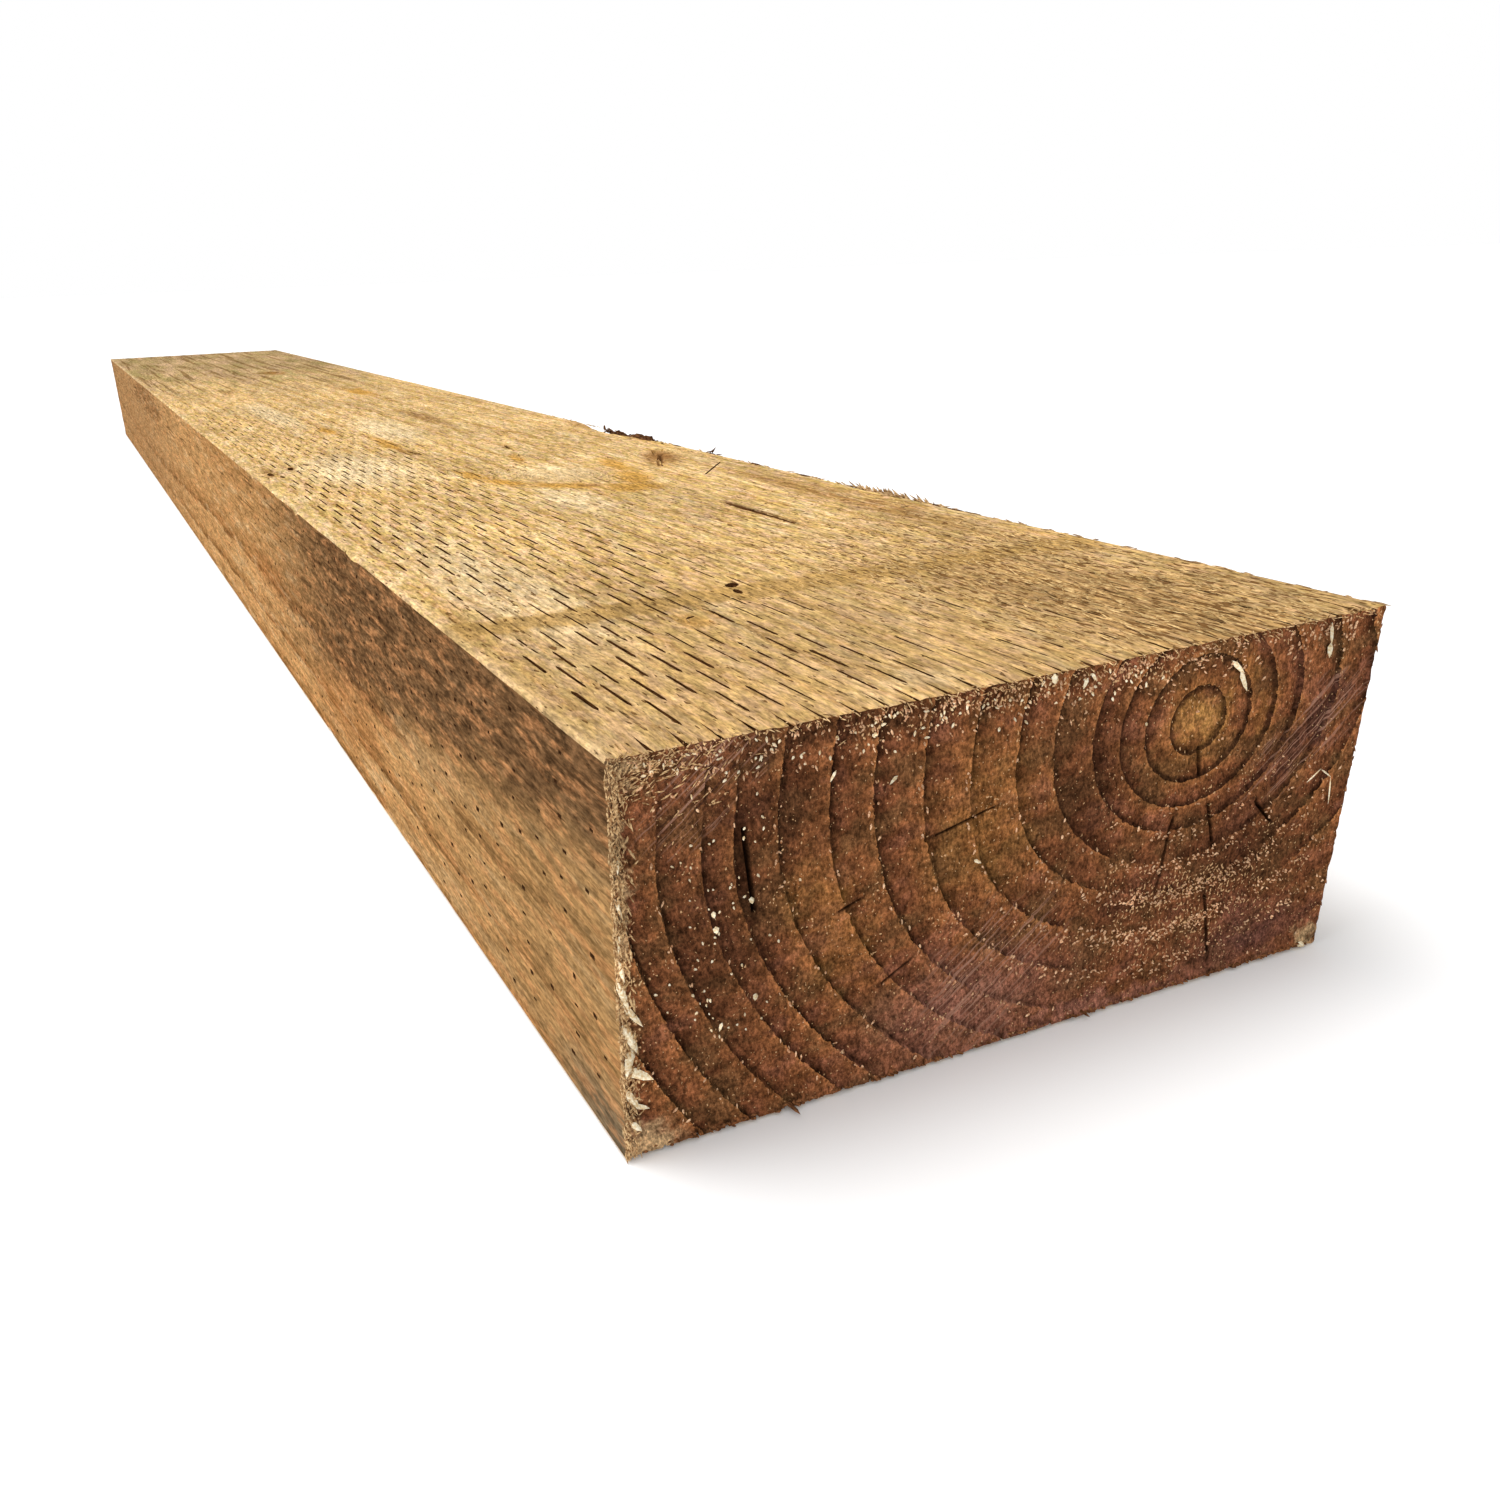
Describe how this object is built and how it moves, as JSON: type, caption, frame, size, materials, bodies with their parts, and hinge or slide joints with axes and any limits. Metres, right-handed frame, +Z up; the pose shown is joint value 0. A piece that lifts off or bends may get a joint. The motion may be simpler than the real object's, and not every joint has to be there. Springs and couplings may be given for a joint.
{
  "type": "railway sleeper",
  "caption": "Sawn softwood railway sleeper with an incised, brown-treated surface, for edging, steps, raised beds and low walls.",
  "frame": {"origin": "middle of the bottom face, where the timber lies on the ground", "axes": "+X along the timber towards its right-hand end, +Y across its width towards its back face, +Z up through its thickness"},
  "size_m": [1.8, 0.225, 0.1],
  "materials": {
    "timber": "rough sawn, incised and brown pressure treated"
  },
  "bodies": {
    "root": {"sleeper": "timber"}
  },
  "joints": []
}
